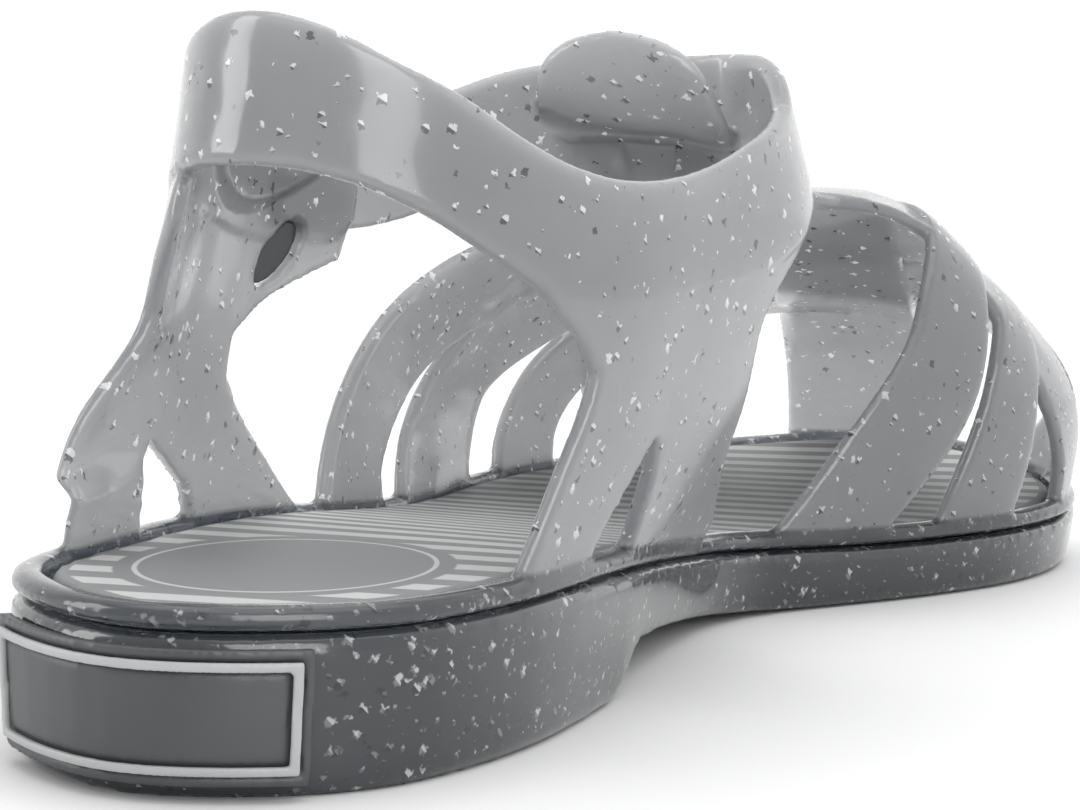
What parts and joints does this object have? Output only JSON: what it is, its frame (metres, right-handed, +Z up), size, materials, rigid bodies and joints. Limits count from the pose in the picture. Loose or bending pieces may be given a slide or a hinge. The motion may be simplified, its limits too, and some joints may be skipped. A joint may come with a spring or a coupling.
{
  "type": "jelly sandal",
  "caption": "Flat left jelly sandal with a moulded cage upper of crossing straps, open heel and sides, a fastened ankle strap and a low heeled sole.",
  "frame": {"origin": "centre of the bounding box on the floor plane under the sole", "axes": "+Y from heel to toe, +X to the medial (inner) side of a left foot, +Z up"},
  "size_m": [0.0884, 0.247, 0.0772],
  "materials": {
    "outsole": "glossy dark grey translucent vinyl with pale and dark flakes",
    "upper": "glossy milky grey flexible vinyl with pale and dark flakes",
    "insole": "matt printed foam sheet, grey with pale cross stripes",
    "heel_plate": "matt dark grey",
    "heel_plate_frame": "pale grey line, slightly raised",
    "strap_stud": "smooth dark grey"
  },
  "bodies": {
    "root": {"outsole": "outsole", "upper": "upper", "insole": "insole", "heel_plate": "heel_plate", "heel_plate_frame": "heel_plate_frame", "strap_stud": "strap_stud"}
  },
  "joints": []
}
